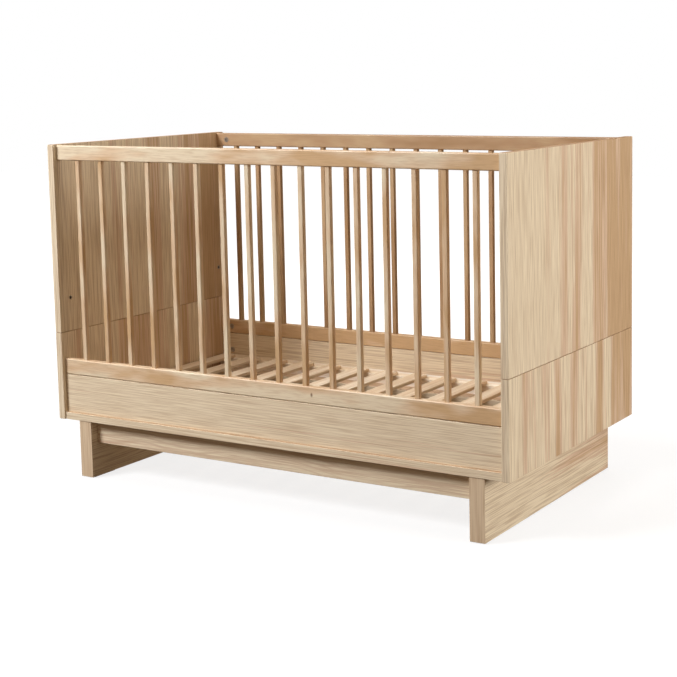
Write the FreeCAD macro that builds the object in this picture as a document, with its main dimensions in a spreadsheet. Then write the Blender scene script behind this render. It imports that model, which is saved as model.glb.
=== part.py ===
# Baby crib for a 1200 x 600 mm mattress: two panelled ends, two slatted sides and a slatted
# base that is set at one of two heights.
# Frame: +X runs along the crib, +Y from its front to its back, +Z up. The origin is on the
# floor, at the middle of the footprint. Lengths are in millimetres.

import FreeCAD, Part
import math
import os
import re

import Sketcher

from FreeCAD import Placement, Rotation, Vector

sizes = {
    # whole crib
    "crib_length": 1240,
    "crib_width": 668,
    "crib_height": 818,
    "board_thick": 18,
    "edge_round": 1,
    # end panels: an upper and a lower board, with a hairline gap between them at the seam
    "panel_base": 141.5,
    "seam_height": 357,
    "seam_gap": 0.8,
    # rails and slats of the long sides
    "rail_recess": 11,
    "rail_thick": 18,
    "rail_round": 3,
    "top_rail_drop": 2,
    "top_rail_high": 36,
    "low_rail_base": 254,
    "low_rail_high": 38,
    "slat_count": 16,
    "slat_pitch": 72,
    "slat_thick": 12,
    "slat_round": 2,
    "slat_tenon": 12,
    "mortise_play": 0.2,
    # board under each lower rail, and the ledge that it stands on
    "apron_gap": 0.8,
    "ledge_thick": 18,
    "ledge_deep": 80,
    "ledge_recess": 4,
    # feet, the beams between them, and the glides under them
    "foot_thick": 37,
    "foot_inset": 60,
    "foot_recess": 6,
    "beam_thick": 18,
    "beam_high": 56,
    "beam_recess": 29,
    "glide_thick": 2,
    "glide_wide": 29,
    "glide_long": 70,
    "glide_inset": 12,
    # slatted base
    "base_length": 1200,
    "base_play": 1,
    "base_bar_thick": 16,
    "base_bar_high": 34.5,
    "rebate_wide": 12,
    "base_slat_count": 14,
    "base_slat_pitch": 88.5,
    "base_slat_wide": 40,
    "base_slat_thick": 9,
    "base_slat_round": 1.5,
    # cam locks and the bolts that they pull on
    "cam_across": 15,
    "cam_deep": 12.5,
    "cam_back": 34,
    "cam_play": 0.2,
    "cam_slot_long": 8,
    "cam_slot_wide": 1.6,
    "cam_slot_deep": 2.5,
    "bolt_thread": 5.8,
    "bolt_shank": 6,
    "bolt_head": 7,
    "bolt_in_panel": 11,
    "bolt_past_cam": 2,
    "bolt_head_long": 4,
    "bolt_bore": 8,
    "bolt_way": 7.6,
    "bolt_way_past": 4,
    # wooden dowels
    "dowel_across": 8,
    "dowel_in_panel": 11,
    "dowel_in_rail": 18,
    "dowel_play": 0.2,
    "rail_dowel_drop": 11,
    "apron_dowel_rise": 30,
    "beam_dowel_rise": 16,
    "ledge_dowel_step": 26,
    "seam_dowel_near": 90,
    "seam_dowel_far": 270,
    # screws that hold the ledges to the feet
    "screw_head": 10,
    "screw_head_high": 3.5,
    "screw_shank": 5,
    "screw_long": 50,
    "screw_play": 0.3,
    "screw_step": 15,
    # sleeves for the pegs that carry the base at its upper height
    "sleeve_height": 440,
    "sleeve_across": 10,
    "sleeve_bore": 7,
    "sleeve_long": 12,
    "sleeve_floor": 1,
}

# lengths that follow from the sheet, written as expressions
inner_length = "(crib_length - 2 * board_thick)"
panel_middle = "(crib_length - board_thick) / 2"
upper_base = "(seam_height + seam_gap)"
rail_middle = "(crib_width / 2 - rail_recess - rail_thick / 2)"
apron_base = "(panel_base + ledge_thick)"
apron_high = "(low_rail_base - apron_gap - panel_base - ledge_thick)"
ledge_middle = "(crib_width / 2 - ledge_recess - ledge_deep / 2)"
foot_middle = "(crib_length / 2 - foot_inset - foot_thick / 2)"
beam_length = "(crib_length - 2 * foot_inset - 2 * foot_thick)"
beam_middle = "(crib_width / 2 - beam_recess - beam_thick / 2)"
bar_middle = "(crib_width / 2 - rail_recess - rail_thick - base_play - base_bar_thick / 2)"
bar_reach = "(crib_width / 2 - rail_recess - rail_thick - base_play)"

doc = FreeCAD.newDocument("baby_crib")
sheet = doc.addObject("Spreadsheet::Sheet", "sizes")
for row, (word, value) in enumerate(sizes.items(), start=1):
    sheet.set(f"A{row}", word)
    sheet.set(f"B{row}", str(value))
    sheet.setAlias(f"B{row}", word)
doc.recompute()


def size(word):
    """Reads one number from the sheet."""
    return float(sheet.get(word))


def formula(text):
    """Turns the words of an expression into references to the sheet's cells."""
    return re.sub(r"[a-z]\w+", r"sizes.\g<0>", text)


# ---- sketches ----

def origin_plane(body, role):
    return next(plane for plane in body.Origin.OriginFeatures if plane.Role == role)


def sketch_on(body, name, role, across="0", up="0", out="0"):
    """Makes a sketch whose own origin stands at (across, up, out) in an origin plane's frame."""
    sketch = body.newObject("Sketcher::SketchObject", name)
    sketch.AttachmentSupport = [(origin_plane(body, role), "")]
    sketch.MapMode = "FlatFace"
    for axis, text in zip("xyz", (across, up, out)):
        sketch.setExpression("AttachmentOffset.Base." + axis, formula(text))
    return sketch


def dimension(sketch, text, *constraint):
    index = sketch.addConstraint(Sketcher.Constraint(*constraint))
    sketch.setExpression(f"Constraints[{index}]", formula(text))


def circle(sketch, diameter):
    sketch.addGeometry(Part.Circle(Vector(), Vector(0, 0, 1), 4))
    sketch.addConstraint(Sketcher.Constraint("Coincident", 0, 3, -1, 1))
    dimension(sketch, diameter, "Diameter", 0, 8)


def rectangle(sketch, wide, tall):
    """Draws a rectangle about the sketch's origin."""
    corners = [Vector(-10, -10), Vector(10, -10), Vector(10, 10), Vector(-10, 10)]
    for index in range(4):
        sketch.addGeometry(Part.LineSegment(corners[index], corners[(index + 1) % 4]))
    for index in range(4):
        sketch.addConstraint(Sketcher.Constraint("Coincident", index, 2, (index + 1) % 4, 1))
        level = "Horizontal" if index % 2 == 0 else "Vertical"
        sketch.addConstraint(Sketcher.Constraint(level, index))
    sketch.addConstraint(Sketcher.Constraint("Symmetric", 0, 1, 2, 1, -1, 1))
    dimension(sketch, wide, "DistanceX", 0, 1, 0, 2, 20)
    dimension(sketch, tall, "DistanceY", 1, 1, 1, 2, 20)


def rounded_square(sketch, side, radius):
    """Draws a square with round corners about the sketch's origin."""
    for turn in range(4):
        spin = Rotation(Vector(0, 0, 1), 90 * turn)
        start = spin.multVec(Vector(-3, -5, 0))
        end = spin.multVec(Vector(3, -5, 0))
        corner = Part.Circle(spin.multVec(Vector(3, -3, 0)), Vector(0, 0, 1), 2)
        first = math.radians(90 * turn - 90)
        sketch.addGeometry(Part.LineSegment(start, end))
        sketch.addGeometry(Part.ArcOfCircle(corner, first, first + math.pi / 2))
    for turn in range(4):
        line = 2 * turn
        arc = line + 1
        level = "Horizontal" if turn % 2 == 0 else "Vertical"
        sketch.addConstraint(Sketcher.Constraint("Tangent", line, 2, arc, 1))
        sketch.addConstraint(Sketcher.Constraint("Tangent", arc, 2, (line + 2) % 8, 1))
        sketch.addConstraint(Sketcher.Constraint(level, line))
    for arc in (3, 5, 7):
        sketch.addConstraint(Sketcher.Constraint("Equal", 1, arc))
    sketch.addConstraint(Sketcher.Constraint("Symmetric", 1, 3, 5, 3, -1, 1))
    dimension(sketch, radius, "Radius", 1, 2)
    dimension(sketch, side, "DistanceX", 6, 1, 2, 1, 10)
    dimension(sketch, side, "DistanceY", 0, 1, 4, 1, 10)


# ---- features ----

def pad(body, sketch, high):
    feature = body.newObject("PartDesign::Pad", "pad")
    feature.Profile = sketch
    feature.setExpression("Length", formula(high))
    doc.recompute()
    return feature


def pocket(body, sketch, depth, along_normal=False):
    """Cuts a sketch into the body, and stops if it removes nothing."""
    before = body.Shape.Volume
    feature = body.newObject("PartDesign::Pocket", "pocket")
    feature.Profile = sketch
    feature.Reversed = along_normal
    feature.setExpression("Length", formula(depth))
    doc.recompute()
    if body.Shape.Volume > before - 1:
        raise RuntimeError(f"{body.Label}: {sketch.Name} cuts nothing")
    return feature


def drill(body, name, role, place, diameter, depth, along_normal=False):
    sketch = sketch_on(body, name, role, *place)
    circle(sketch, diameter)
    return pocket(body, sketch, depth, along_normal)


def mirror(body, features, role):
    """Repeats features on the other side of one of the body's origin planes."""
    feature = body.newObject("PartDesign::Mirrored", "mirrored")
    feature.Originals = features
    feature.MirrorPlane = (origin_plane(body, role), [""])
    body.Tip = feature
    doc.recompute()


def repeat(body, features, sketch, count, pitch):
    """Repeats features along the sketch's horizontal axis."""
    feature = body.newObject("PartDesign::LinearPattern", "pattern")
    feature.Originals = features
    feature.Direction = (sketch, ["H_Axis"])
    feature.setExpression("Length", formula(f"({count} - 1) * {pitch}"))
    feature.setExpression("Occurrences", formula(count))
    body.Tip = feature
    doc.recompute()


def round_edges(body, base, radius, along=None):
    """Rounds every edge of a feature, or only the straight ones along one direction."""
    names = []
    for number, edge in enumerate(base.Shape.Edges, start=1):
        run = edge.tangentAt(edge.FirstParameter)
        if along is None or abs(run.dot(along)) > 0.99:
            names.append(f"Edge{number}")
    feature = body.newObject("PartDesign::Fillet", "rounding")
    feature.Base = (base, names)
    feature.setExpression("Radius", formula(radius))
    doc.recompute()


# ---- pieces ----

nodes = []


def new_body(label):
    body = doc.addObject("PartDesign::Body", label)
    body.Label = label
    return body


def place(body, x, y, z, turn=0):
    """Puts a finished body in the crib, turned about +Z, and counts it as a node."""
    body.Placement = Placement(Vector(), Rotation(Vector(0, 0, 1), turn))
    for axis, text in zip("xyz", (x, y, z)):
        body.setExpression("Placement.Base." + axis, formula(text))
    nodes.append(body)


def board(label, long, deep, high, radius="edge_round", along=None):
    """A board about its own X and Y axes that stands on its own XY plane."""
    body = new_body(label)
    outline = sketch_on(body, "outline", "XY_Plane")
    rectangle(outline, long, deep)
    round_edges(body, pad(body, outline, high), radius, along)
    return body


def socket_end(body, length, height, dowel_steps):
    """Bores both ends of a board for a cam lock in its +Y face, its bolt and its dowels."""
    thick = "rail_thick"
    cam_x = f"-({length} / 2 - cam_back)"
    end_x = f"-{length} / 2"
    cuts = [
        drill(body, "cam_seat", "XZ_Plane", (cam_x, height, f"-{thick} / 2"),
              "cam_across + cam_play", "cam_deep + 2 * cam_play", along_normal=True),
        drill(body, "bolt_bore", "YZ_Plane", ("0", height, end_x),
              "bolt_bore", "cam_back", along_normal=True),
    ]
    for step in dowel_steps:
        cuts.append(drill(body, "dowel_bore", "YZ_Plane", ("0", f"{height} + {step}", end_x),
                          "dowel_across + dowel_play", "dowel_in_rail + dowel_play",
                          along_normal=True))
    mirror(body, cuts, "YZ_Plane")


def mortises(body, level, upward):
    """Sinks the row of slat sockets into a rail."""
    first = "-(slat_count - 1) * slat_pitch / 2"
    row = sketch_on(body, "mortise", "XY_Plane", first, "0", level)
    rounded_square(row, "slat_thick + mortise_play", "slat_round + mortise_play / 2")
    socket = pocket(body, row, "slat_tenon + mortise_play", along_normal=upward)
    repeat(body, [socket], row, "slat_count", "slat_pitch")


def rail(label, high, base, side, mortise_level, upward):
    body = board(label, inner_length, "rail_thick", high, "rail_round", Vector(1, 0, 0))
    mortises(body, mortise_level, upward)
    socket_end(body, inner_length, f"{high} / 2", ["-rail_dowel_drop"])
    place(body, "0", f"{side} * {rail_middle}", base, 90 + 90 * side)


def slat(label, x, side):
    body = new_body(label)
    section = sketch_on(body, "section", "XY_Plane")
    rounded_square(section, "slat_thick", "slat_round")
    pad(body, section, "crib_height - top_rail_drop - top_rail_high - low_rail_base"
                       " - low_rail_high + 2 * slat_tenon")
    place(body, x, f"{side} * {rail_middle}", "low_rail_base + low_rail_high - slat_tenon")


def apron(label, side):
    """The board that closes the side between its lower rail and the ledge."""
    body = board(label, inner_length, "rail_thick", apron_high)
    socket_end(body, inner_length, f"{apron_high} / 2", ["apron_dowel_rise", "-apron_dowel_rise"])
    place(body, "0", f"{side} * {rail_middle}", apron_base, 90 + 90 * side)


def ledge(label, side):
    """The flat board that carries the apron and the base, with cam locks underneath."""
    body = board(label, inner_length, "ledge_deep", "ledge_thick")
    end_x = f"-{inner_length} / 2"
    middle = "ledge_thick / 2"
    cuts = [
        drill(body, "cam_seat", "XY_Plane", (f"-({inner_length} / 2 - cam_back)", "0", "0"),
              "cam_across + cam_play", "cam_deep + 2 * cam_play", along_normal=True),
        drill(body, "bolt_bore", "YZ_Plane", ("0", middle, end_x),
              "bolt_bore", "cam_back", along_normal=True),
    ]
    for way in (-1, 1):
        cuts.append(drill(body, "dowel_bore", "YZ_Plane", (f"{way} * ledge_dowel_step", middle, end_x),
                          "dowel_across + dowel_play", "dowel_in_rail + dowel_play",
                          along_normal=True))
        screw_at = (f"-{foot_middle}", f"{way} * screw_step", "ledge_thick")
        cuts.append(drill(body, "screw_seat", "XY_Plane", screw_at,
                          "screw_head + screw_play", "screw_head_high + screw_play"))
        cuts.append(drill(body, "screw_bore", "XY_Plane", screw_at,
                          "screw_shank + screw_play", "ledge_thick"))
    mirror(body, cuts, "YZ_Plane")
    place(body, "0", f"{side} * {ledge_middle}", "panel_base", 90 + 90 * side)


def panel_bores(body, joints):
    """Bores the +X face of an end board at each (y, z, dowel steps), on both sides of it."""
    face = "board_thick / 2"
    cuts = []
    for y, z, dowel_steps in joints:
        cuts.append(drill(body, "bolt_hole", "YZ_Plane", (y, z, face),
                          "bolt_thread + cam_play", "bolt_in_panel + cam_play"))
        for step_y, step_z in dowel_steps:
            cuts.append(drill(body, "dowel_hole", "YZ_Plane",
                              (f"{y} + {step_y}", f"{z} + {step_z}", face),
                              "dowel_across + dowel_play", "dowel_in_panel + dowel_play"))
    return cuts


def seam_bores(body, level, depth, upward):
    """Bores the edge of an end board for the upright dowels across the seam."""
    cuts = []
    for step in ("seam_dowel_near", "seam_dowel_far"):
        cuts.append(drill(body, "seam_dowel", "XY_Plane", ("0", f"-{step}", level),
                          "dowel_across + dowel_play", f"{depth} + dowel_play", upward))
    return cuts


def upper_panel(label, side):
    body = board(label, "board_thick", "crib_width", f"crib_height - {upper_base}")
    rail_z = f"crib_height - top_rail_drop - top_rail_high / 2 - {upper_base}"
    cuts = panel_bores(body, [(f"-{rail_middle}", rail_z, [("0", "-rail_dowel_drop")])])
    cuts += seam_bores(body, "0", "dowel_in_rail", upward=True)
    sleeve_at = (f"-{bar_middle}", f"sleeve_height - {upper_base}", "board_thick / 2")
    cuts.append(drill(body, "sleeve_hole", "YZ_Plane", sleeve_at,
                      "sleeve_across + cam_play", "sleeve_long + cam_play"))
    mirror(body, cuts, "XZ_Plane")
    place(body, f"{side} * {panel_middle}", "0", upper_base, 90 + 90 * side)


def lower_panel(label, side):
    body = board(label, "board_thick", "crib_width", "seam_height - panel_base")
    rail_z = "low_rail_base + low_rail_high / 2 - panel_base"
    apron_z = f"ledge_thick + {apron_high} / 2"
    cuts = panel_bores(body, [
        (f"-{rail_middle}", rail_z, [("0", "-rail_dowel_drop")]),
        (f"-{rail_middle}", apron_z, [("0", "apron_dowel_rise"), ("0", "-apron_dowel_rise")]),
        (f"-{ledge_middle}", "ledge_thick / 2", [("ledge_dowel_step", "0"), ("-ledge_dowel_step", "0")]),
    ])
    cuts += seam_bores(body, "seam_height - panel_base", "dowel_in_panel", upward=False)
    mirror(body, cuts, "XZ_Plane")
    place(body, f"{side} * {panel_middle}", "0", "panel_base", 90 + 90 * side)


def foot(label, side):
    """A thick board across the crib, with the beams on its +X face and screws in its top."""
    high = "(panel_base - glide_thick)"
    body = board(label, "foot_thick", "crib_width - 2 * foot_recess", high)
    beam_z = f"{high} - beam_high / 2"
    face = "foot_thick / 2"
    cuts = [drill(body, "bolt_hole", "YZ_Plane", (f"-{beam_middle}", beam_z, face),
                  "bolt_thread + cam_play", "bolt_in_panel + cam_play")]
    for way in (-1, 1):
        cuts.append(drill(body, "dowel_hole", "YZ_Plane",
                          (f"-{beam_middle}", f"{beam_z} + {way} * beam_dowel_rise", face),
                          "dowel_across + dowel_play", "dowel_in_panel + dowel_play"))
        cuts.append(drill(body, "screw_hole", "XY_Plane",
                          ("0", f"-{ledge_middle} + {way} * screw_step", high),
                          "screw_shank + screw_play", "screw_long - ledge_thick + screw_play"))
    mirror(body, cuts, "XZ_Plane")
    place(body, f"{side} * {foot_middle}", "0", "glide_thick", 90 + 90 * side)


def beam(label, side):
    body = board(label, beam_length, "beam_thick", "beam_high")
    socket_end(body, beam_length, "beam_high / 2", ["beam_dowel_rise", "-beam_dowel_rise"])
    place(body, "0", f"{side} * {beam_middle}", "panel_base - beam_high", 90 + 90 * side)


def base_bar(label, side):
    """A long bar of the base, rebated along its inner top edge for the slats."""
    body = board(label, "base_length", "base_bar_thick", "base_bar_high")
    rebate = sketch_on(body, "rebate", "XY_Plane", "0", "(base_bar_thick - rebate_wide) / 2",
                       "base_bar_high")
    rectangle(rebate, "base_length", "rebate_wide")
    pocket(body, rebate, "base_slat_thick")
    place(body, "0", f"{side} * {bar_middle}", apron_base, 90 + 90 * side)


def base_slats(label):
    """The row of slats that lies in the rebates, one solid for each slat."""
    body = new_body(label)
    body.AllowCompound = True
    outline = sketch_on(body, "outline", "XY_Plane", "-(base_slat_count - 1) * base_slat_pitch / 2")
    rectangle(outline, "base_slat_wide", f"2 * ({bar_reach} - base_bar_thick + rebate_wide)")
    first = pad(body, outline, "base_slat_thick")
    repeat(body, [first], outline, "base_slat_count", "base_slat_pitch")
    round_edges(body, body.Tip, "base_slat_round", Vector(0, 1, 0))
    place(body, "0", "0", f"{apron_base} + base_bar_high - base_slat_thick")


# ---- hardware: each kind is one node, a group of equal solids ----

def rod(name, diameter, start, length):
    """A cylinder along +Z that begins at the height start."""
    part = doc.addObject("Part::Cylinder", name)
    part.setExpression("Radius", formula(f"({diameter}) / 2"))
    part.setExpression("Height", formula(length))
    part.setExpression("Placement.Base.z", formula(start))
    return part


def join(name, parts):
    fusion = doc.addObject("Part::MultiFuse", name)
    fusion.Shapes = parts
    doc.recompute()
    return fusion


def subtract(name, base, tool):
    rest = doc.addObject("Part::Cut", name)
    rest.Base = base
    rest.Tool = tool
    doc.recompute()
    return rest


def cam_pattern():
    """A cam lock: its face is at z = 0, and the bolt comes in along +X at mid board."""
    disc = rod("cam_disc", "cam_across", "-cam_deep", "cam_deep")
    way = doc.addObject("Part::Cylinder", "cam_way")
    way.setExpression("Radius", formula("bolt_way / 2"))
    way.setExpression("Height", formula("cam_across + bolt_way_past"))
    way.Placement = Placement(Vector(), Rotation(Vector(0, 1, 0), 90))
    way.setExpression("Placement.Base.x", formula("-cam_across"))
    way.setExpression("Placement.Base.z", formula("-rail_thick / 2"))
    cam = subtract("cam_bored", disc, way)
    for long, wide in (("cam_slot_long", "cam_slot_wide"), ("cam_slot_wide", "cam_slot_long")):
        slot = doc.addObject("Part::Box", "cam_slot")
        slot.setExpression("Length", formula(long))
        slot.setExpression("Width", formula(wide))
        slot.setExpression("Height", formula("cam_slot_deep"))
        slot.setExpression("Placement.Base.x", formula(f"-{long} / 2"))
        slot.setExpression("Placement.Base.y", formula(f"-{wide} / 2"))
        slot.setExpression("Placement.Base.z", formula("-cam_slot_deep"))
        cam = subtract("cam_slotted", cam, slot)
    return cam


def bolt_pattern():
    """A cam bolt along +Z: z = 0 is the face of the board that it is screwed into."""
    shank_end = "cam_back + bolt_past_cam - bolt_head_long"
    return join("bolt", [
        rod("bolt_thread_rod", "bolt_thread", "-bolt_in_panel", "bolt_in_panel"),
        rod("bolt_shank_rod", "bolt_shank", "0", shank_end),
        rod("bolt_head_rod", "bolt_head", shank_end, "bolt_head_long"),
    ])


def dowel_pattern():
    return rod("dowel", "dowel_across", "-dowel_in_panel", "dowel_in_panel + dowel_in_rail")


def screw_pattern():
    """A flat-headed screw that points down: its head's top is at z = 0."""
    return join("screw", [
        rod("screw_shank_rod", "screw_shank", "-screw_long", "screw_long - screw_head_high"),
        rod("screw_head_rod", "screw_head", "-screw_head_high", "screw_head_high"),
    ])


def sleeve_pattern():
    """A sleeve along +Z whose mouth is at z = 0, open at the mouth only."""
    outside = rod("sleeve_outside", "sleeve_across", "-sleeve_long", "sleeve_long")
    inside = rod("sleeve_inside", "sleeve_bore", "sleeve_floor - sleeve_long", "sleeve_long")
    return subtract("sleeve", outside, inside)


def glide_pattern():
    block = doc.addObject("Part::Box", "glide_block")
    block.setExpression("Length", formula("glide_wide"))
    block.setExpression("Width", formula("glide_long"))
    block.setExpression("Height", formula("glide_thick"))
    block.setExpression("Placement.Base.x", formula("-glide_wide / 2"))
    block.setExpression("Placement.Base.y", formula("-glide_long / 2"))
    return block


def spot(point, out, toward=None):
    """A place at a point whose +Z is out and, where it matters, whose +X is toward."""
    if toward is None:
        return Placement(point, Rotation(Vector(0, 0, 1), out))
    return Placement(point, Rotation(toward, Vector(), out, "ZXY"))


def group(label, pattern, spots):
    """One node that holds a copy of the pattern at each spot."""
    doc.recompute()
    copies = []
    for here in spots:
        copy = pattern.Shape.copy()
        copy.Placement = here.multiply(copy.Placement)
        copies.append(copy)
    node = doc.addObject("Part::Feature", label)
    node.Label = label
    node.Shape = Part.makeCompound(copies)
    nodes.append(node)


def socket_joints():
    """Each cam joint: the middle of the board's end, the way into it, its cam face's
    direction, and the steps to its dowels."""
    half = size("crib_length") / 2 - size("board_thick")
    beam_half = size("crib_length") / 2 - size("foot_inset") - size("foot_thick")
    rail_y = size("crib_width") / 2 - size("rail_recess") - size("rail_thick") / 2
    ledge_y = size("crib_width") / 2 - size("ledge_recess") - size("ledge_deep") / 2
    beam_y = size("crib_width") / 2 - size("beam_recess") - size("beam_thick") / 2
    ledge_top = size("panel_base") + size("ledge_thick")
    top_z = size("crib_height") - size("top_rail_drop") - size("top_rail_high") / 2
    low_z = size("low_rail_base") + size("low_rail_high") / 2
    apron_z = (ledge_top + size("low_rail_base") - size("apron_gap")) / 2
    ledge_z = size("panel_base") + size("ledge_thick") / 2
    beam_z = size("panel_base") - size("beam_high") / 2
    drop = Vector(0, 0, -size("rail_dowel_drop"))
    apron_step = Vector(0, 0, size("apron_dowel_rise"))
    beam_step = Vector(0, 0, size("beam_dowel_rise"))
    ledge_step = Vector(0, size("ledge_dowel_step"), 0)
    joints = []
    for end in (-1, 1):
        into = Vector(-end, 0, 0)
        for side in (-1, 1):
            inner = Vector(0, -side, 0)
            joints += [
                (Vector(end * half, side * rail_y, top_z), into, inner, [drop]),
                (Vector(end * half, side * rail_y, low_z), into, inner, [drop]),
                (Vector(end * half, side * rail_y, apron_z), into, inner, [apron_step, -apron_step]),
                (Vector(end * half, side * ledge_y, ledge_z), into, Vector(0, 0, -1),
                 [ledge_step, -ledge_step]),
                (Vector(end * beam_half, side * beam_y, beam_z), into, inner,
                 [beam_step, -beam_step]),
            ]
    return joints


def hardware():
    cams = []
    bolts = []
    dowels = []
    for end, into, face, steps in socket_joints():
        cams.append(spot(end + into * size("cam_back") + face * (size("rail_thick") / 2), face, into))
        bolts.append(spot(end, into))
        dowels += [spot(end + step, into) for step in steps]
    screws = []
    sleeves = []
    glides = []
    up = Vector(0, 0, 1)
    panel_x = (size("crib_length") - size("board_thick")) / 2
    foot_x = size("crib_length") / 2 - size("foot_inset") - size("foot_thick") / 2
    ledge_y = size("crib_width") / 2 - size("ledge_recess") - size("ledge_deep") / 2
    bar_y = (size("crib_width") / 2 - size("rail_recess") - size("rail_thick")
             - size("base_play") - size("base_bar_thick") / 2)
    glide_y = (size("crib_width") - size("glide_long")) / 2 - size("foot_recess") - size("glide_inset")
    ledge_top = size("panel_base") + size("ledge_thick")
    for end in (-1, 1):
        for side in (-1, 1):
            for word in ("seam_dowel_near", "seam_dowel_far"):
                dowels.append(spot(Vector(end * panel_x, side * size(word), size("seam_height")), up))
            for way in (-1, 1):
                y = side * (ledge_y + way * size("screw_step"))
                screws.append(spot(Vector(end * foot_x, y, ledge_top), up))
            sleeve_x = size("crib_length") / 2 - size("board_thick")
            mouth = Vector(end * sleeve_x, side * bar_y, size("sleeve_height"))
            sleeves.append(spot(mouth, Vector(-end, 0, 0)))
            glides.append(spot(Vector(end * foot_x, side * glide_y, 0), up))
    group("cam_locks", cam_pattern(), cams)
    group("cam_bolts", bolt_pattern(), bolts)
    group("wood_dowels", dowel_pattern(), dowels)
    group("foot_screws", screw_pattern(), screws)
    group("base_sleeves", sleeve_pattern(), sleeves)
    group("floor_glides", glide_pattern(), glides)


# ---- the crib ----

def crib():
    for name, side in (("left", -1), ("right", 1)):
        upper_panel(f"{name}_upper_panel", side)
        lower_panel(f"{name}_lower_panel", side)
        foot(f"{name}_foot", side)
    for name, side in (("front", -1), ("back", 1)):
        rail(f"{name}_top_rail", "top_rail_high", "crib_height - top_rail_drop - top_rail_high",
             side, "0", upward=True)
        rail(f"{name}_low_rail", "low_rail_high", "low_rail_base", side, "low_rail_high",
             upward=False)
        apron(f"{name}_apron", side)
        ledge(f"{name}_ledge", side)
        beam(f"{name}_beam", side)
        base_bar(f"{name}_base_bar", side)
        for number in range(int(size("slat_count"))):
            x = f"({number} - (slat_count - 1) / 2) * slat_pitch"
            slat(f"{name}_slat_{number + 1:02d}", x, side)
    base_slats("base_slats")
    hardware()


def check_objects():
    doc.recompute()
    for thing in doc.Objects:
        if "Invalid" in thing.State or "Error" in thing.State:
            raise RuntimeError(f"{thing.Label} failed: {thing.State}")
    for node in nodes:
        if node.Shape.isNull() or not node.Shape.isValid():
            raise RuntimeError(f"{node.Label} has no valid shape")


def write_nodes():
    os.makedirs("parts", exist_ok=True)
    for node in nodes:
        node.Shape.exportStep(f"parts/{node.Label}.step")
        print(node.Label, len(node.Shape.Solids), round(node.Shape.Volume / 1000), "cm3")


crib()
check_objects()
write_nodes()
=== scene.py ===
import math

import bpy
from mathutils import Euler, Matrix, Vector


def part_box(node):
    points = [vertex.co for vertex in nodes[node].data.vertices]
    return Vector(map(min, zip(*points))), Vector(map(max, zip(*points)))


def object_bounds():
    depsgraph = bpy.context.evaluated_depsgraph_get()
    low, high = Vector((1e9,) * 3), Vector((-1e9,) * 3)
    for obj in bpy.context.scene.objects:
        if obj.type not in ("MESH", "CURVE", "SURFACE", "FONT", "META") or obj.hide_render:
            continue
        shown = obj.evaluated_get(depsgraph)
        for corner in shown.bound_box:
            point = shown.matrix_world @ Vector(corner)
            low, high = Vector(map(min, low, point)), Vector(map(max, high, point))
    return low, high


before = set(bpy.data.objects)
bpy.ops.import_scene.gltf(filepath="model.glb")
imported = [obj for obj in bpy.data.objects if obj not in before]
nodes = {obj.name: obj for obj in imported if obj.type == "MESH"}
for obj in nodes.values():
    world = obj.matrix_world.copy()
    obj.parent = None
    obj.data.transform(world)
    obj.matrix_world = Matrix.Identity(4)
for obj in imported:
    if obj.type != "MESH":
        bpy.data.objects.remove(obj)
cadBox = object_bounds()
print("frame loaded:", len(nodes), "pieces")


def toLinear(hexColour):
    # sRGB hex to the linear values that the shaders want
    parts = [int(hexColour[i:i + 2], 16) / 255 for i in (1, 3, 5)]
    return [p / 12.92 if p <= 0.04045 else ((p + 0.055) / 1.055) ** 2.4 for p in parts] + [1.0]


def addNode(tree, kind, inputs=None, stops=None, **settings):
    # one node with its settings; an input is a value or the socket that feeds it, and stops are
    # the places and colours along a colour ramp
    made = tree.nodes.new(kind)
    for name, value in settings.items():
        setattr(made, name, value)
    for socket, value in (inputs or {}).items():
        if isinstance(value, bpy.types.NodeSocket):
            tree.links.new(value, made.inputs[socket])
        else:
            made.inputs[socket].default_value = value
    if stops:
        elements = made.color_ramp.elements
        while len(elements) < len(stops):
            elements.new(0.5)
        for element, (place, colour) in zip(elements, stops):
            element.position = place
            element.color = toLinear(colour)
    return made


def newMaterial(name):
    material = bpy.data.materials.new(name)
    material.use_nodes = True
    material.node_tree.nodes.clear()
    return material, material.node_tree


def finishMaterial(tree, shader):
    output = addNode(tree, "ShaderNodeOutputMaterial")
    tree.links.new(shader.outputs[0], output.inputs["Surface"])


def named(*endings):
    return [name for name in sorted(nodes) if name.endswith(endings)]


def dress(names, material):
    for name in names:
        for slot in nodes[name].material_slots:
            slot.material = material
    print("dressed", len(names), "pieces in", material.name)


# Which of the object's axes stand for (across, across, along) when the grain runs along one
grainOrder = {"x": "YZX", "y": "XZY", "z": "XYZ"}
facingLimit = 0.7       # a face counts as facing an axis when its normal reaches this far along it
mmPerMetre = 1000.0


def grainSpace(tree, along, edge=None):
    # A point in millimetres with its grain along Z, and a mask of the faces that are recoloured:
    # the edge bands, whose own grain runs another way, and the top of a ledge, which is painted
    # shade.
    coordinates = addNode(tree, "ShaderNodeTexCoord")
    part = addNode(tree, "ShaderNodeSeparateXYZ", {"Vector": coordinates.outputs["Object"]})
    point = addNode(tree, "ShaderNodeCombineXYZ", {
        axis: part.outputs[source] for axis, source in zip("XYZ", grainOrder[along])}).outputs[0]
    isBandOrShade = None
    if edge:
        band = addNode(tree, "ShaderNodeCombineXYZ", {
            axis: part.outputs[source] for axis, source in zip("XYZ", grainOrder[edge["along"]])})
        normal = addNode(tree, "ShaderNodeSeparateXYZ", {"Vector": coordinates.outputs["Normal"]})
        size = addNode(tree, "ShaderNodeMath", {0: normal.outputs[edge["facing"]]},
                       operation="ABSOLUTE")
        isBandOrShade = addNode(tree, "ShaderNodeMath", {0: size.outputs[0], 1: facingLimit},
                         operation="GREATER_THAN").outputs[0]
        point = addNode(tree, "ShaderNodeMix", {
            "Factor": isBandOrShade, "A": point, "B": band.outputs[0]},
            data_type="VECTOR").outputs["Result"]
    inMm = addNode(tree, "ShaderNodeVectorMath", {0: point, "Scale": mmPerMetre},
                   operation="SCALE")
    return inMm.outputs[0], isBandOrShade


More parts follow.
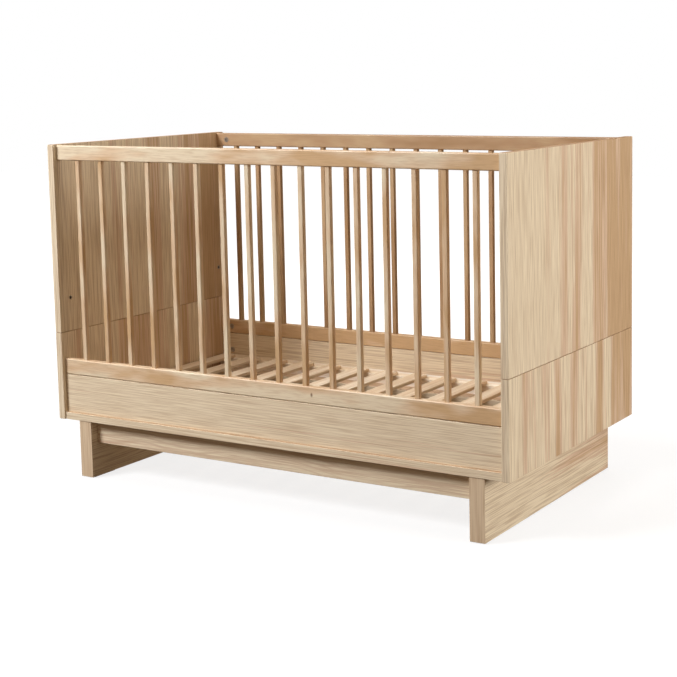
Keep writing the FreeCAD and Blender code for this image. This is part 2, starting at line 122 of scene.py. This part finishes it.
def stretched(tree, point, acrossMm, alongMm, detail=2.0, rough=0.5, offset=(0, 0, 0)):
    # noise whose cells are acrossMm wide and alongMm long
    scaled = addNode(tree, "ShaderNodeMapping", {
        "Vector": point, "Location": offset,
        "Scale": (1 / acrossMm, 1 / acrossMm, 1 / alongMm)}, vector_type="POINT")
    return addNode(tree, "ShaderNodeTexNoise", {
        "Vector": scaled.outputs[0], "Scale": 1.0, "Detail": detail,
        "Roughness": rough}).outputs["Fac"]


def driftedToneAndShade(tree, tone, axis, amount):
    # raises a tone towards one end of the crib and lowers it towards the other, as painted light
    # falling off along the crib, mixed on the ends with the print's own tone
    place = addNode(tree, "ShaderNodeTexCoord").outputs["Object"]
    along = addNode(tree, "ShaderNodeSeparateXYZ", {"Vector": place}).outputs[axis]
    index = "XYZ".index(axis)
    shift = addNode(tree, "ShaderNodeMapRange", {
        "Value": along, "From Min": cadBox[0][index], "From Max": cadBox[1][index],
        "To Min": amount, "To Max": -amount})
    return addNode(tree, "ShaderNodeMath", {0: tone, 1: shift.outputs["Result"]},
                   operation="ADD").outputs[0]


# Oak-look laminate: printed paper pressed on particle board. The print gives fine straight
# lines along the grain over soft cream, tan and rosy bands, under a dull satin film.
oakLaminate = {
    "cream": "#EAD9BC",
    "tan": "#C9A983",
    "rose": "#DBBEA2",
    "pore": "#987350",
    "edge": "#BE9873",     # the edge bands, and the painted shade on top of a ledge
    "bandMm": 56,          # width of one colour band
    "bandLongMm": 1500,    # how far a band runs along the grain
    "streakMm": 5,         # width and length of a streak inside a band
    "streakLongMm": 320,
    "streakShare": 0.36,   # how much the streaks count beside the bands
    "steps": (0.39, 0.43, 0.47, 0.51),    # where tan ends, rose begins and ends, cream begins
    "lineMm": 1.9,         # pore lines are finer, drawn this wide so that they show
    "lineLongMm": 130,
    "poreRange": (0.41, 0.54),
    "poreDepth": 0.46,
    "reliefMetres": 0.0003,
    "relief": 0.10,
    "roughness": 0.46,
}


def oakBoard(name, along, edge=None, offset=(0, 0, 0), lift=0.0, toneAndShadeDrift=0.0, rings=None):
    values = oakLaminate
    material, tree = newMaterial(name)
    point, isBandOrShade = grainSpace(tree, along, edge)
    band = stretched(tree, point, values["bandMm"], values["bandLongMm"], 1.0, 0.4, offset)
    streak = stretched(tree, point, values["streakMm"], values["streakLongMm"], 2.0, 0.5, offset)
    pores = stretched(tree, point, values["lineMm"], values["lineLongMm"], 2.0, 0.6, offset)
    tone = addNode(tree, "ShaderNodeMix", {
        "Factor": values["streakShare"], "A": band, "B": streak},
        data_type="FLOAT").outputs["Result"]
    if toneAndShadeDrift:
        # the sheet is creamier towards its front and browner towards its back: on the ends partly
        # the print's own tone and partly painted shade where less light reaches the back, on the
        # feet painted shade
        tone = driftedToneAndShade(tree, tone, "Y", toneAndShadeDrift)
    base = addNode(tree, "ShaderNodeValToRGB", {"Fac": tone}, [
        (step - lift, values[colour])
        for step, colour in zip(values["steps"], ("tan", "rose", "rose", "cream"))])
    poreLow, poreHigh = values["poreRange"]
    depth = addNode(tree, "ShaderNodeMapRange", {
        "Value": pores, "From Min": poreLow, "From Max": poreHigh,
        "To Min": values["poreDepth"], "To Max": 0.0}).outputs["Result"]
    if rings:
        # growth rings cut at a slant show as contour lines of a slowly warped surface
        warp = stretched(tree, point, rings["warpAcrossMm"], rings["warpAlongMm"], 1.0, 0.4, offset)
        across = addNode(tree, "ShaderNodeSeparateXYZ", {"Vector": point}).outputs["Y"]
        height = addNode(tree, "ShaderNodeMath", {
            0: warp, 1: rings["warpMm"], 2: across}, operation="MULTIPLY_ADD")
        turn = addNode(tree, "ShaderNodeMath", {
            0: height.outputs[0], 1: 2 * math.pi / rings["ringMm"]}, operation="MULTIPLY")
        wave = addNode(tree, "ShaderNodeMath", {0: turn.outputs[0]}, operation="SINE")
        patch = stretched(tree, point, rings["warpAcrossMm"], rings["warpAlongMm"] / 2, 1.0, 0.5)
        strength = addNode(tree, "ShaderNodeMapRange", {
            "Value": patch, "From Min": 0.35, "From Max": 0.6,
            "To Min": rings["depth"] * rings["faintest"], "To Max": rings["depth"]})
        sharp = addNode(tree, "ShaderNodeMapRange", {
            "Value": wave.outputs[0], "From Min": 0.0, "From Max": 1.0,
            "To Min": 0.0, "To Max": strength.outputs["Result"]})
        depth = addNode(tree, "ShaderNodeMath", {
            0: depth, 1: sharp.outputs["Result"]}, operation="MAXIMUM").outputs[0]
    colour = addNode(tree, "ShaderNodeMix", {
        "Factor": depth, "A": base.outputs["Color"],
        "B": toLinear(rings["colour"] if rings else values["pore"])},
        data_type="RGBA").outputs["Result"]
    if edge:
        # edge bands take their browner colour here, and the top of a ledge its painted shade
        share = addNode(tree, "ShaderNodeMath", {0: isBandOrShade, 1: edge["shade"]}, operation="MULTIPLY")
        colour = addNode(tree, "ShaderNodeMix", {
            "Factor": share.outputs[0], "A": colour, "B": toLinear(values["edge"])},
            data_type="RGBA").outputs["Result"]
    bump = addNode(tree, "ShaderNodeBump", {
        "Strength": values["relief"], "Distance": values["reliefMetres"], "Height": pores})
    shader = addNode(tree, "ShaderNodeBsdfPrincipled", {
        "Base Color": colour, "Roughness": values["roughness"], "Normal": bump.outputs[0]})
    finishMaterial(tree, shader)
    return material


# Beech under a clear satin lacquer: even and almost without figure, with soft cloudy patches
# and a faint fleck.
beech = {
    "light": "#E7D6B9",
    "warm": "#CFAC82",
    "rosy": "#DFC3A2",
    "fleck": "#A9825A",
    "knot": "#6E4A2C",
    "cloudMm": 48,         # width and length of a cloudy patch
    "cloudLongMm": 170,
    "steps": (0.36, 0.47, 0.60),    # where warm ends, where rosy is purest, where light begins
    "fleckMm": 2.4,        # the real flecks are finer, drawn this wide so that they show
    "fleckLongMm": 40,
    "fleckRange": (0.36, 0.56),
    "fleckDepth": 0.28,
    "reliefMetres": 0.0003,
    "relief": 0.08,
    "roughness": 0.40,
    "coat": 0.10,
    "coatRoughness": 0.3,
}

# The same beech in browner colours, for the pieces of the side that stands behind
brownBeech = dict(beech, light="#BC9F7B", warm="#A5835E", rosy="#B1906E")


def beechWood(name, values, along, lift=0.0, toneAndShadeDrift=0.0, offset=(0, 0, 0), knotAt=None):
    material, tree = newMaterial(name)
    point, _ = grainSpace(tree, along)
    cloud = stretched(tree, point, values["cloudMm"], values["cloudLongMm"], 2.0, 0.5, offset)
    fleck = stretched(tree, point, values["fleckMm"], values["fleckLongMm"], 2.0, 0.6)
    if toneAndShadeDrift:
        # painted light: a rail is paler at its left end, nearer the key lamp, and browner towards
        # its right
        cloud = driftedToneAndShade(tree, cloud, "X", toneAndShadeDrift)
    base = addNode(tree, "ShaderNodeValToRGB", {"Fac": cloud}, [
        (step - lift, values[colour])
        for step, colour in zip(values["steps"], ("warm", "rosy", "light"))])
    fleckLow, fleckHigh = values["fleckRange"]
    faint = addNode(tree, "ShaderNodeMapRange", {
        "Value": fleck, "From Min": fleckLow, "From Max": fleckHigh,
        "To Min": values["fleckDepth"], "To Max": 0.0})
    colour = addNode(tree, "ShaderNodeMix", {
        "Factor": faint.outputs["Result"], "A": base.outputs["Color"],
        "B": toLinear(values["fleck"])},
        data_type="RGBA").outputs["Result"]
    if knotAt:
        place = addNode(tree, "ShaderNodeTexCoord").outputs["Object"]
        fromKnot = addNode(tree, "ShaderNodeVectorMath", {0: place, 1: knotAt["centre"]},
                           operation="SUBTRACT")
        squeezed = addNode(tree, "ShaderNodeVectorMath", {
            0: fromKnot.outputs[0], 1: knotAt["squeeze"]}, operation="MULTIPLY")
        away = addNode(tree, "ShaderNodeVectorMath", {0: squeezed.outputs[0]}, operation="LENGTH")
        near = addNode(tree, "ShaderNodeMapRange", {
            "Value": away.outputs["Value"], "From Min": knotAt["core"],
            "From Max": knotAt["radius"], "To Min": knotAt["depth"], "To Max": 0.0})
        colour = addNode(tree, "ShaderNodeMix", {
            "Factor": near.outputs["Result"], "A": colour, "B": toLinear(values["knot"])},
            data_type="RGBA").outputs["Result"]
    bump = addNode(tree, "ShaderNodeBump", {
        "Strength": values["relief"], "Distance": values["reliefMetres"], "Height": fleck})
    shader = addNode(tree, "ShaderNodeBsdfPrincipled", {
        "Base Color": colour, "Roughness": values["roughness"],
        "Coat Weight": values["coat"], "Coat Roughness": values["coatRoughness"],
        "Normal": bump.outputs[0]})
    finishMaterial(tree, shader)
    return material


# Bare wood of the mattress base: pine bars and birch slats, both planed and dry
pine = {"light": "#FFF8EC", "warm": "#FBEDD8", "line": "#E6CDA8", "ringMm": 5, "roughness": 0.6}
birch = {"light": "#F6E8D2", "warm": "#E8D2B5", "line": "#C9A880", "ringMm": 4, "roughness": 0.62}
planing = {"patchMm": 30, "patchLongMm": 700, "ringLongMm": 500, "ringRange": (0.38, 0.60),
           "ringDepth": 0.5, "reliefMetres": 0.0004, "relief": 0.15}


def planedWood(name, values, along):
    # straight pale rings with a darker late-wood line
    material, tree = newMaterial(name)
    point, _ = grainSpace(tree, along)
    patch = stretched(tree, point, planing["patchMm"], planing["patchLongMm"], 2.0, 0.5)
    ring = stretched(tree, point, values["ringMm"], planing["ringLongMm"], 2.0, 0.55)
    base = addNode(tree, "ShaderNodeValToRGB", {"Fac": patch}, [
        (0.36, values["warm"]), (0.62, values["light"])])
    ringLow, ringHigh = planing["ringRange"]
    late = addNode(tree, "ShaderNodeMapRange", {
        "Value": ring, "From Min": ringLow, "From Max": ringHigh,
        "To Min": planing["ringDepth"], "To Max": 0.0})
    colour = addNode(tree, "ShaderNodeMix", {
        "Factor": late.outputs["Result"], "A": base.outputs["Color"],
        "B": toLinear(values["line"])}, data_type="RGBA")
    bump = addNode(tree, "ShaderNodeBump", {
        "Strength": planing["relief"], "Distance": planing["reliefMetres"], "Height": ring})
    shader = addNode(tree, "ShaderNodeBsdfPrincipled", {
        "Base Color": colour.outputs["Result"], "Roughness": values["roughness"],
        "Normal": bump.outputs[0]})
    finishMaterial(tree, shader)
    return material


# Metal of the fasteners: die-cast zinc cams and sleeves, zinc-plated steel bolts and screws
castZinc = {"colour": "#C9C8C4", "dull": "#A7A59F", "roughness": 0.34, "spotMm": 1.5}
platedSteel = {"colour": "#D4D3CC", "dull": "#B4B09F", "roughness": 0.24, "spotMm": 3}


def fastenerMetal(name, values):
    # bright grey with a slightly cloudy skin
    material, tree = newMaterial(name)
    point, _ = grainSpace(tree, "z")
    cloud = stretched(tree, point, values["spotMm"], values["spotMm"])
    colour = addNode(tree, "ShaderNodeValToRGB", {"Fac": cloud}, [
        (0.35, values["dull"]), (0.6, values["colour"])])
    shader = addNode(tree, "ShaderNodeBsdfPrincipled", {
        "Base Color": colour.outputs["Color"], "Metallic": 1.0,
        "Roughness": values["roughness"]})
    finishMaterial(tree, shader)
    return material


# Pressed wool felt of the glides: brown, matt and fibrous, the fibres drawn coarser than real
# ones so that they show
felt = {"dark": "#4A3A2C", "light": "#6B5744", "fibreMm": 0.9, "reliefMetres": 0.0006,
        "relief": 0.6, "roughness": 0.95, "sheen": 0.3}


def feltPad():
    material, tree = newMaterial("pressedFelt")
    point, _ = grainSpace(tree, "z")
    fibre = stretched(tree, point, felt["fibreMm"], felt["fibreMm"], 3.0, 0.7)
    colour = addNode(tree, "ShaderNodeValToRGB", {"Fac": fibre}, [
        (0.35, felt["dark"]), (0.65, felt["light"])])
    bump = addNode(tree, "ShaderNodeBump", {
        "Strength": felt["relief"], "Distance": felt["reliefMetres"], "Height": fibre})
    shader = addNode(tree, "ShaderNodeBsdfPrincipled", {
        "Base Color": colour.outputs["Color"], "Roughness": felt["roughness"],
        "Sheen Weight": felt["sheen"], "Normal": bump.outputs[0]})
    finishMaterial(tree, shader)
    return material


# Edge bands: the one on top of an end runs from front to back, and those of a foot stand upright;
# the top of a ledge has no band but takes the same colour as painted shade, its grain along the
# ledge; the shade is how brown a band or that top is
panelEdge = {"facing": "Z", "along": "y", "shade": 0.9}
footEdge = {"facing": "Y", "along": "z", "shade": 0.4}
ledgeEdge = {"facing": "Z", "along": "x", "shade": 0.75}

# Figure of the boards that lie along the crib
apronRings = {"ringMm": 6.3, "warpMm": 22, "warpAcrossMm": 120, "warpAlongMm": 900,
              "depth": 0.25, "faintest": 0.3, "colour": "#A98663"}
beamRings = {"ringMm": 10, "warpMm": 70, "warpAcrossMm": 70, "warpAlongMm": 300,
             "depth": 0.42, "faintest": 0.3, "colour": "#AD7F60"}

# One dark pin knot low on the front rail
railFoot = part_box("front_low_rail")[0]
pinKnot = {"centre": (0.128, railFoot.y, railFoot.z + 0.020), "radius": 0.005, "core": 0.0015,
           "depth": 0.85, "squeeze": (1.3, 0.5, 0.8)}

dress(named("_upper_panel"),
      oakBoard("oakLaminateUpright", "z", panelEdge, (2.6, 9.3, 0), toneAndShadeDrift=0.17))
dress(named("_lower_panel"),
      oakBoard("oakLaminateLower", "z", panelEdge, (5, 3, 0), toneAndShadeDrift=0.07))
dress(named("_foot"), oakBoard("oakLaminateFoot", "y", footEdge, (3, 1, 0), lift=0.03, toneAndShadeDrift=0.14))
dress(named("_apron"), oakBoard("oakLaminateLengthwise", "x", lift=0.13, rings=apronRings))
# the top of the ledge is darkened as painted shade
dress(named("_ledge"), oakBoard("oakLaminateLedge", "x", ledgeEdge, lift=0.06, rings=apronRings))
dress(named("_beam"),
      oakBoard("oakLaminateFigured", "x", offset=(7, 2, 0), lift=0.03, rings=beamRings))
dress(["front_top_rail"], beechWood("beechTopRail", beech, "x", -0.03, 0.20, (0, 0, 2)))
dress(["front_low_rail"], beechWood("beechLowRail", beech, "x", 0.04, 0.06, (0, 0, 3.4), pinKnot))
dress(["back_top_rail"], beechWood("beechBackRail", brownBeech, "x", 0.02, 0.0, (0, 0, 5)))
dress(["back_low_rail"], beechWood("beechBackLowRail", beech, "x", -0.15))
dress([name for name in sorted(nodes) if name.startswith("front_slat_")],
      beechWood("beechSlat", beech, "z", -0.03))
dress([name for name in sorted(nodes) if name.startswith("back_slat_")],
      beechWood("beechBackSlat", brownBeech, "z"))
dress(["wood_dowels"], beechWood("beechDowel", beech, "x"))
dress(named("_base_bar"), planedWood("planedPine", pine, "x"))
dress(["base_slats"], planedWood("planedBirch", birch, "y"))
dress(["cam_locks", "base_sleeves"], fastenerMetal("dieCastZinc", castZinc))
dress(["cam_bolts", "foot_screws"], fastenerMetal("platedSteel", platedSteel))
dress(["floor_glides"], feltPad())


# A pale paper floor that glows, less so under the crib, so that it is white with soft shadows
paperFloor = {"reach": 9.0, "colour": "#7C7C7C", "nearGlow": 0.80, "farGlow": 1.0,
              "nearMetres": 0.9, "farMetres": 2.6, "roughness": 0.9}


def makeFloor():
    reach = paperFloor["reach"]
    mesh = bpy.data.meshes.new("floor")
    corners = [(-reach, -reach, 0), (reach, -reach, 0), (reach, reach, 0), (-reach, reach, 0)]
    mesh.from_pydata(corners, [], [(0, 1, 2, 3)])
    floor = bpy.data.objects.new("floor", mesh)
    bpy.context.scene.collection.objects.link(floor)
    material, tree = newMaterial("paperSweep")
    place = addNode(tree, "ShaderNodeTexCoord").outputs["Object"]
    away = addNode(tree, "ShaderNodeVectorMath", {0: place}, operation="LENGTH").outputs["Value"]
    glow = addNode(tree, "ShaderNodeMapRange", {
        "Value": away, "From Min": paperFloor["nearMetres"], "From Max": paperFloor["farMetres"],
        "To Min": paperFloor["nearGlow"], "To Max": paperFloor["farGlow"]})
    shader = addNode(tree, "ShaderNodeBsdfPrincipled", {
        "Base Color": toLinear(paperFloor["colour"]), "Roughness": paperFloor["roughness"],
        "Emission Color": (1, 1, 1, 1), "Emission Strength": glow.outputs["Result"]})
    finishMaterial(tree, shader)
    mesh.materials.append(material)
    floor.visible_diffuse = False      # a white floor would light the crib from below
    floor.visible_glossy = False


# name: where it stands, what it points at, its width and height in metres, its power in watts,
# its colour, and whether it may leave a glint
lamps = {
    "keyBox": ((-2.1, -3.1, 3.1), (0, 0, 0.4), (1.5, 1.5), 216, "#F9FBFF", True),
    "topBox": ((0, 0, 7.0), (0, 0, 0.3), (4.5, 4.5), 120, "#FFF5EA", True),
    "sideBox": ((3.6, 0.30, 0.9), (0, 0, 0.45), (1.1, 1.0), 76, "#FFFEFC", True),
    "backBox": ((-1.6, 3.6, 1.5), (0, 0, 0.4), (2.4, 1.8), 75, "#FFFDFA", False),
}


def makeLamps():
    for name, (place, target, (wide, high), power, colour, glints) in lamps.items():
        light = bpy.data.lights.new(name, "AREA")
        light.shape = "RECTANGLE"
        light.size = wide
        light.size_y = high
        light.energy = power
        light.color = toLinear(colour)[:3]
        lamp = bpy.data.objects.new(name, light)
        lamp.location = place
        lamp.rotation_euler = (Vector(target) - Vector(place)).to_track_quat("-Z", "Y").to_euler()
        lamp.visible_glossy = glints
        bpy.context.scene.collection.objects.link(lamp)


# A white studio: its backdrop is plain white, and as a light it is soft, dimmer near the floor
studio = {"above": 0.30, "below": 0.13, "lowRise": -0.3, "highRise": 0.4,
          "airColour": "#FFECD8", "lowColour": "#FFDDBB"}


def makeStudio():
    world = bpy.data.worlds.new("studio")
    bpy.context.scene.world = world
    world.use_nodes = True
    tree = world.node_tree
    tree.nodes.clear()
    way = addNode(tree, "ShaderNodeTexCoord").outputs["Generated"]
    rise = addNode(tree, "ShaderNodeSeparateXYZ", {"Vector": way}).outputs["Z"]
    strength = addNode(tree, "ShaderNodeMapRange", {
        "Value": rise, "From Min": studio["lowRise"], "From Max": studio["highRise"],
        "To Min": studio["below"], "To Max": studio["above"]})
    colour = addNode(tree, "ShaderNodeValToRGB", {"Fac": rise}, [
        (0.0, studio["lowColour"]), (0.5, studio["airColour"])])
    seen = addNode(tree, "ShaderNodeLightPath").outputs["Is Camera Ray"]
    glow = addNode(tree, "ShaderNodeBackground", {
        "Color": colour.outputs["Color"], "Strength": strength.outputs["Result"]})
    backdrop = addNode(tree, "ShaderNodeBackground", {"Color": (1, 1, 1, 1), "Strength": 1.0})
    mixed = addNode(tree, "ShaderNodeMixShader", {
        0: seen, 1: glow.outputs[0], 2: backdrop.outputs[0]})
    output = addNode(tree, "ShaderNodeOutputWorld")
    tree.links.new(mixed.outputs[0], output.inputs["Surface"])


# The camera looks down a little from the front right
view = {
    "place": (1.9265, -2.9428, 0.993),
    "tilt": 83.067,        # degrees up from looking straight down
    "roll": -0.947,
    "turn": 30.591,
    "lens": 77.77,
    "sensor": 36,
    "shift": (-0.10, -0.14),
}


def makeCamera():
    data = bpy.data.cameras.new("camera")
    data.sensor_width = view["sensor"]
    data.lens = view["lens"]
    data.shift_x, data.shift_y = view["shift"]
    data.clip_end = 50
    camera = bpy.data.objects.new("camera", data)
    camera.location = view["place"]
    level = Euler((math.radians(view["tilt"]), 0, math.radians(view["turn"]))).to_matrix()
    lean = Euler((0, 0, math.radians(view["roll"]))).to_matrix()
    camera.rotation_euler = (level @ lean).to_euler()
    bpy.context.scene.collection.objects.link(camera)
    bpy.context.scene.camera = camera


makeFloor()
makeLamps()
makeStudio()
makeCamera()
bpy.context.scene.view_settings.view_transform = "Standard"
print("floor, lamps and camera in place")
